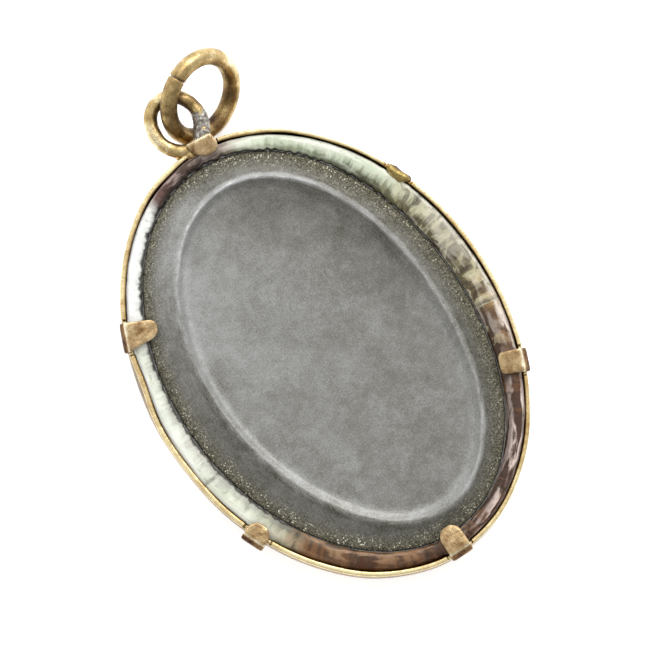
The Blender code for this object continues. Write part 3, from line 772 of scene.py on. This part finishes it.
def build_cover():
    """Celluloid over the print: domed front, wall, and the uneven roll over the back edge."""
    theta = around(COVER_STEPS)
    outside = np.concatenate((dome(0.0), shoulder(0.0), [(WALL, -1.2), (WALL, -0.5)]))
    inside = np.concatenate((dome(COVER_THICKNESS), shoulder(COVER_THICKNESS),
                             [(WALL - COVER_THICKNESS, ROLL_FOOT)]))[::-1]
    turns = np.linspace(0.0, math.pi, 33)[None, :]
    outer = roll_edge(theta) + wander(theta, 21, 4, 60, 0.015)
    jagged = by_angle(theta, (0, 0.06), (60, 0.045), (75, 0.015), (230, 0.02), (245, 0.05), (300, 0.06))
    inner = plate_edge(theta) - 0.06 + jagged * wander(theta, 23, 10, 160, 1.0)
    seam = sum(near(theta, angle, width) for angle, width in ROLL_SEAMS)
    pleats = 0.5 + 0.5 * np.sin(theta * 62 + 2.0 * np.sin(theta * 7))
    bulk = 1.0 - 0.12 * seam - 0.09 * pleats * near(theta, 92, 22) + wander(theta, 29, 6, 70, 0.045)
    middle, half = (outer + inner) / 2, (inner - outer) / 2
    roll_inset = middle - half * rounded(np.cos(turns), 0.70)
    roll_z = -0.06 + (ROLL_CREST + 0.06) * bulk * rounded(np.sin(turns), 0.8)
    roll_x, roll_y = inside_rim(theta, roll_inset)
    foot_x, foot_y = inside_rim(theta, inner)
    front = [turned(theta, half_length) for half_length in outside[:, 0]]
    back = [turned(theta, half_length) for half_length in inside[:, 0]]
    x = np.concatenate([p[0] for p in front] + [roll_x, foot_x] + [p[0] for p in back], 1)
    y = np.concatenate([p[1] for p in front] + [roll_y, foot_y] + [p[1] for p in back], 1)
    level = np.ones_like(theta)
    z = np.concatenate((level * outside[:, 1], roll_z, level * ROLL_FOOT, level * inside[:, 1]), 1)
    roll_count = turns.shape[1]
    across = np.concatenate((np.zeros(len(outside)), (turns[0] / math.pi), np.ones(1 + len(inside))))
    reach = np.concatenate((outside[:, 0] / DOME_EDGE, np.ones(roll_count + 1), inside[:, 0] / DOME_EDGE))
    on_front = np.concatenate((outside[:, 1] < FRONT_TOP, np.zeros(roll_count + 1), inside[:, 1] < FRONT_TOP))
    fields = {"across": across[None, :], "front": np.clip(reach, 0, 1)[None, :] ** 2,
              "on_front": on_front[None, :], "seam": np.clip(seam, 0, 1), **roll_fields(theta, across)}
    return loft("cover", x, y, z, fields)


def plate_shade(theta, across, x, y):
    """Painted light and shade of the plate: brightness by angle on its edge, slope, crest and wall, then by
    place on its floor.
    """
    slope = by_angle(theta, (0, 0.43), (20, 0.42), (45, 0.35), (100, 0.33), (150, 0.37), (200, 0.36),
                     (220, 0.40), (260, 0.39), (295, 0.50), (322, 0.62), (342, 0.64))
    crest = by_angle(theta, (0, 0.86), (20, 0.86), (60, 0.68), (80, 0.66), (100, 0.58), (120, 0.64),
                     (160, 0.76), (180, 0.50), (200, 0.42), (240, 0.42), (280, 0.46), (305, 0.70),
                     (325, 0.84))
    wall = by_angle(theta, (0, 0.62), (20, 0.52), (45, 0.46), (75, 0.42), (100, 0.56), (120, 0.62),
                    (165, 0.68), (200, 0.60), (240, 0.62), (300, 0.70), (320, 0.76))
    verge = by_angle(theta, (0, 0.48), (20, 0.40), (60, 0.38), (80, 0.45), (120, 0.53), (140, 0.56),
                     (180, 0.50), (220, 0.55), (260, 0.56), (280, 0.54), (300, 0.70), (340, 0.58))
    way = (x * VIEW_UP.y - y * VIEW_UP.x) / HALF_WIDTH
    up = (x * VIEW_UP.x + y * VIEW_UP.y) / HALF_LENGTH
    # Painted light on the floor: darker towards the view's right and a little towards its top
    floor = 0.575 - 0.09 * way - 0.03 * up
    # Painted light and shade at places across the plate: 0 at its edge, 1 on the crest, 3 and on over the
    # floor
    places = np.array([0.0, 0.05, 0.80, 0.90, 1.0, 1.10, 1.24, 1.6, 2.2, 3.0, 4.0])
    levels = [0.8 * slope, slope, slope, crest * 0.8, crest, crest * 0.95, wall * 0.85, wall,
              0.7 * wall + 0.3 * verge, verge]
    shade = np.empty_like(x)
    for column, place in enumerate(across):
        slot = min(max(np.searchsorted(places, place, "right") - 1, 0), len(places) - 2)
        share = np.clip((place - places[slot]) / (places[slot + 1] - places[slot]), 0.0, 1.0)
        stops = [*levels, floor[:, column:column + 1]]
        shade[:, column:column + 1] = stops[slot] * (1.0 - share) + stops[slot + 1] * share
    return shade


def build_plate():
    """Back plate: turned-down edge, grainy border, rounded ridge, and a floor a little uneven."""
    theta = around(PLATE_STEPS)
    edge = plate_edge(theta) + 0.02 + wander(theta, 31, 6, 60, 0.015)
    crest = ridge_line(theta)
    slope = crest - edge
    # Share of the way from the edge to the crest, and height: turned-down edge, then the slope
    rise = ((0.0, ROLL_FOOT), (0.0, -0.12), (0.015, -0.02), (0.05, 0.03), (0.12, 0.06), (0.22, 0.09),
            (0.34, 0.13), (0.46, 0.18), (0.58, 0.24), (0.70, 0.31), (0.80, 0.37), (0.88, 0.415),
            (0.94, 0.44), (1.0, 0.45))
    fall = 0.62 + 0.45 * near(theta, 60, 45) + 0.28 * near(theta, 215, 40)
    drop = ((0.15, 0.44), (0.32, 0.405), (0.50, 0.33), (0.70, 0.22), (0.90, 0.12), (1.15, 0.05), (1.5, 0.012),
            (2.0, 0.0))
    insets = [edge + slope * share for share, height in rise]
    heights = [height for share, height in rise]
    insets += [crest + fall * share for share, height in drop]
    heights += [height for share, height in drop]
    rim_x, rim_y = inside_rim(theta, np.concatenate(insets, 1))
    rings = np.linspace(1.0, 0.0, 26)[None, 1:]
    x = np.concatenate((rim_x, rim_x[:, -1:] * rings), 1)
    y = np.concatenate((rim_y, rim_y[:, -1:] * rings), 1)
    level = np.ones_like(theta)
    bed = np.concatenate((level * heights, level * 0.0 * rings), 1)
    swell = 0.035 * np.sin(x * 0.31 + 0.6) * np.sin(y * 0.23 + 0.4) * np.clip(1 - bed / 0.05, 0, 1)
    z = bed + swell
    across = np.concatenate([np.array([share for share, height in rise]),
                             1.0 + np.array([share for share, height in drop]),
                             3.0 + np.clip((1.0 - rings[0]) / 0.45, 0.0, 1.0)])
    # Painted light and shade across the plate
    shade = plate_shade(theta, across, x, y)
    width = (across * slope) * (across < 1.0) + 9.0 * (across >= 1.0)
    border = np.clip(1.3 - width / 1.25, 0.0, 1.0)
    # Strength of brushed streaks over the painted shade, most on the crest's painted highlight
    streak_strength = 0.20 + 0.55 * np.exp(-(((across - 1.06) / 0.20) ** 2)) + 0.0 * theta
    streak_strength = streak_strength * (across < 3.0)
    glints = border * by_angle(theta, (0, 0.7), (30, 0.9), (70, 0.6), (110, 0.35), (160, 0.6), (180, 1.0),
                               (250, 1.0), (290, 0.5), (320, 0.35))
    glints = np.clip(glints + 0.35 * np.exp(-((across - 1.0) / 0.1) ** 2) * near(theta, 110, 40), 0.0, 1.0)
    under_x, under_y = x[:, ::-1], y[:, ::-1]
    under_z = np.maximum(z[:, ::-1] - PLATE_THICKNESS, ROLL_FOOT)
    fields = {"shade": shade, "border": border, "glints": glints, "streak_strength": streak_strength,
              "across": across + 0.0 * theta}
    fields = {key: np.concatenate((field, field[:, ::-1]), 1) for key, field in fields.items()}
    fields |= compass(theta)
    return loft("plate", np.concatenate((x, under_x), 1), np.concatenate((y, under_y), 1),
                np.concatenate((z, under_z), 1), fields)


# --- Loop, solder and jump ring ---------------------------------------------------------------


def tube(name, centres, normal, radius, sides, closed, fields):
    """Wire along a flat curve: its section turns in the plane of the curve's normal."""
    if closed:
        heading = np.roll(centres, -1, 0) - np.roll(centres, 1, 0)
    else:
        heading = np.gradient(centres, axis=0)
    heading /= np.linalg.norm(heading, axis=1)[:, None]
    up = np.array(normal, float)
    side = np.cross(heading, up)
    turns = np.linspace(0.0, 2 * math.pi, sides, endpoint=False)
    ring = (np.cos(turns)[None, :, None] * side[:, None, :] + np.sin(turns)[None, :, None] * up)
    points = centres[:, None, :] + ring * radius[..., None]
    return loft(name, points[..., 0], points[..., 1], points[..., 2], fields, closed=closed)


def build_loop():
    """Round wire loop, its foot sunk a little into the solder on the band."""
    steps, sides = 220, 32
    angle = around(steps)[:, 0]
    shift = np.stack((LOOP_HALF_WIDTH * np.cos(angle), LOOP_HALF_LENGTH * np.sin(angle), 0 * angle), 1)
    centres = np.array(LOOP_CENTRE) + shift * (1.0 + wander(angle, 41, 2, 7, 0.010))[:, None]
    centres[:, 2] += wander(angle, 43, 1, 5, 0.03)
    turns = around(sides)[:, 0][None, :]
    radius = LOOP_WIRE * (1.0 + wander(angle, 47, 3, 20, 0.018)[:, None] + 0 * turns)
    stain = 0.40 * near(angle, 28, 26) + 0.22 * near(angle, 118, 20) + 0.18 * near(angle, 262, 16)
    patches = (wander(angle, 53, 2, 12, 0.12) - stain)[:, None]
    # Painted light: the wire's top and its outer side lighter; the stains and patches are the metal's own
    wear_and_highlight = 0.46 + 0.24 * np.sin(turns) + 0.14 * np.cos(turns) + patches
    return tube("loop", centres, (0, 0, 1), radius, sides, True, {"wear_and_highlight": wear_and_highlight})


def build_ring():
    """Split jump ring: thick drawn wire, its ends cut square and almost touching."""
    across = np.array((math.cos(RING_HEADING), math.sin(RING_HEADING), 0.0))
    level = np.array((-across[1], across[0], 0.0))
    rise = level * math.cos(RING_TIP) + np.array((0.0, 0.0, math.sin(RING_TIP)))
    gap = RING_SPLIT_GAP / RING_RADIUS
    share = np.linspace(0.0, 1.0, 301)
    angle = RING_SPLIT + gap / 2 + (2 * math.pi - gap) * share
    centres = np.array(RING_CENTRE) + RING_RADIUS * (
        across * np.cos(angle)[:, None] + rise * np.sin(angle)[:, None])
    sides = 40
    turns = around(sides)[:, 0][None, :]
    end = np.minimum(share, 1.0 - share) * 2 * math.pi * RING_RADIUS
    bevel = 1.0 - 0.10 * np.clip(1.0 - end / 0.10, 0.0, 1.0) ** 2
    radius = RING_WIRE * bevel[:, None] * (1.0 + wander(angle, 61, 2, 14, 0.008)[:, None] + 0 * turns)
    # Painted light and shade: the ring lighter or darker by where it lies round its circle, and one side of
    # the wire lighter; the wander is uneven wear
    lit = 0.24 * near(angle, 20, 45) - 0.10 * near(angle, 135, 45) + 0.06 * near(angle, 300, 25)
    wear_and_highlight = 0.38 + (lit + wander(angle, 67, 1, 10, 0.10))[:, None] + 0.20 * np.sin(turns + 1.0)
    ring = tube("ring", centres, np.cross(across, rise), radius, sides, False, {"wear_and_highlight": wear_and_highlight})
    ring.data.set_sharp_from_angle(angle=math.radians(50))
    return ring


def build_solder():
    """Solder run up the loop's right leg and into the corner between its foot and the band."""
    lump = bmesh.new()
    # Angle around the loop, radius, and offset outward of each blob
    for angle, size, offset in ((-84, 0.62, 0.22), (-70, 0.74, 0.14), (-58, 0.76, 0.02), (-47, 0.75, -0.06),
                                (-36, 0.74, -0.06), (-26, 0.71, -0.05), (-16, 0.67, -0.03), (-7, 0.63, -0.01),
                                (-104, 0.52, 0.34), (-124, 0.46, 0.32)):
        turn = math.radians(angle)
        shift = Vector((LOOP_HALF_WIDTH * math.cos(turn), LOOP_HALF_LENGTH * math.sin(turn), 0.0))
        centre = LOOP_CENTRE + shift + shift.normalized() * offset
        scale = Matrix.Diagonal((size * MM, size * MM, size * 0.90 * MM, 1.0))
        shape = Matrix.Translation(centre * MM) @ scale
        bmesh.ops.create_icosphere(lump, subdivisions=4, radius=1.0, matrix=shape)
    mesh = bpy.data.meshes.new("solder_lump")
    lump.to_mesh(mesh)
    lump.free()
    obj = new_object("solder_lump", mesh)
    remesh = obj.modifiers.new("join", "REMESH")
    remesh.mode = "VOXEL"
    remesh.voxel_size = 0.06 * MM
    smooth = obj.modifiers.new("melt", "SMOOTH")
    smooth.iterations = 6
    bpy.context.view_layer.update()
    joined = bpy.data.meshes.new_from_object(obj.evaluated_get(bpy.context.evaluated_depsgraph_get()))
    obj.modifiers.clear()
    obj.data = joined
    gilt = []
    for vertex in joined.vertices:
        spot = vertex.co / MM
        swell = 0.07 * noise.noise(spot * 1.3) + 0.035 * noise.noise(spot * 3.6)
        vertex.co += vertex.normal * swell * MM
        across, along = spot.x - LOOP_CENTRE.x, spot.y - LOOP_CENTRE.y
        gilt.append(min(max(0.55 - 0.35 * across - 0.15 * (along + 1.5), 0.0), 1.0))
    joined.attributes.new("gilt", "FLOAT", "POINT").data.foreach_set("value", gilt)
    joined.shade_smooth()
    return obj


# --- Assembly ---------------------------------------------------------------------------------


def add_piece(obj, material, node, body=None):
    """Dress a piece, let it stand for a CAD node, and let it ride on a body unless it blends."""
    obj.data.materials.clear()
    obj.data.materials.append(material)
    if body:
        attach(obj, body)
    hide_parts(node)


def dress_node(node, material):
    data = frame["nodes"][node].data
    data.materials.clear()
    data.materials.append(material)


def build_pendant():
    band_brass = brass("band_brass", "2A1C0E", "6A5230", "B8955C", "F8E6B4", patchy=0.75, flecked=0.35)
    stub_brass = brass("stub_brass", "3E2A26", "6E5444", "9C8850", "E4CE90", 2.2)
    claw_brass = brass("claw_brass", "42281A", "866846", "C6AC82", "FFF4D8", 1.6, patchy=1.3, flecked=0.32)
    wire_brass = brass("wire_brass", "44342A", "826A44", "C4AA76", "FFF2CA", 1.0)
    add_piece(build_bezel(), band_brass, "bezel_frame", "pendant")
    add_piece(build_stub(), stub_brass, "bezel_frame", "pendant")
    for node, claw in CLAWS.items():
        add_piece(build_claw(f"{node}_strap", **claw), claw_brass, node)
    add_piece(build_cover(), celluloid(), "celluloid_cover", "pendant")
    add_piece(build_plate(), tinplate(), "back_plate", "pendant")
    add_piece(build_loop(), wire_brass, "bail_loop", "pendant")
    add_piece(build_solder(), solder_metal(), "bail_solder", "pendant")
    add_piece(build_ring(), wire_brass, "jump_ring", "ring")
    dress_node("photo_print", paper_print())
    dress_node("button_shell", plain_tin())


# --- Floor, light and camera ------------------------------------------------------------------


def build_floor():
    mesh = bpy.data.meshes.new("floor")
    grid = bmesh.new()
    bmesh.ops.create_grid(grid, x_segments=4, y_segments=4, size=1.5)
    grid.to_mesh(mesh)
    grid.free()
    floor = new_object("floor", mesh)
    floor.location.z = TABLE * MM
    mesh.materials.append(studio_floor())


def area_light(name, direction, distance, size, power):
    """Soft square lamp in this direction from the pendant, facing it."""
    data = bpy.data.lights.new(name, "AREA")
    data.shape = "SQUARE"
    data.size = size
    data.energy = power
    lamp = new_object(name, data)
    away = Vector(direction).normalized()
    lamp.location = away * distance
    lamp.rotation_euler = away.to_track_quat("Z", "Y").to_euler()


def build_light():
    """Soft studio: the sky grows from dim at the picture's bottom to bright at its top."""
    world = bpy.data.worlds.new("studio")
    bpy.context.scene.world = world
    world.use_nodes = True
    tree = world.node_tree
    background = tree.nodes["Background"]
    background.inputs["Color"].default_value = (1.0, 1.0, 1.0, 1.0)
    way = tree.nodes.new("ShaderNodeTexCoord").outputs["Generated"]
    lean = tree.nodes.new("ShaderNodeVectorMath")
    lean.operation = "DOT_PRODUCT"
    lean.inputs[1].default_value = SKY_WAY
    tree.links.new(way, lean.inputs[0])
    level = tree.nodes.new("ShaderNodeMapRange")
    for key, value in (("From Min", -0.8), ("From Max", 0.9), ("To Min", SKY_DIM), ("To Max", SKY_BRIGHT)):
        level.inputs[key].default_value = value
    tree.links.new(lean.outputs["Value"], level.inputs["Value"])
    tree.links.new(level.outputs[0], background.inputs["Strength"])
    right = Vector((VIEW_UP.y, -VIEW_UP.x, 0.0))
    area_light("key", VIEW_UP * 1.0 + right * 0.3 + Vector((0.0, 0.0, 0.9)), 0.5, 0.35, KEY_POWER)


def build_camera():
    data = bpy.data.cameras.new("camera")
    data.sensor_width = SENSOR
    data.lens = SENSOR * VIEW_DISTANCE / VIEW_WIDTH
    camera = new_object("camera", data)
    bpy.context.scene.camera = camera
    away = Vector((0.0, 0.0, math.cos(VIEW_TILT))) - VIEW_UP * math.sin(VIEW_TILT)
    up = (VIEW_UP - away * VIEW_UP.dot(away)).normalized()
    target = VIEW_UP * VIEW_SHIFT
    axes = Matrix((up.cross(away), up, away)).transposed().to_4x4()
    camera.matrix_world = Matrix.Translation((target + away * VIEW_DISTANCE) * MM) @ axes


build_pendant()
build_floor()
build_light()
build_camera()
bpy.context.scene.view_settings.view_transform = "Standard"
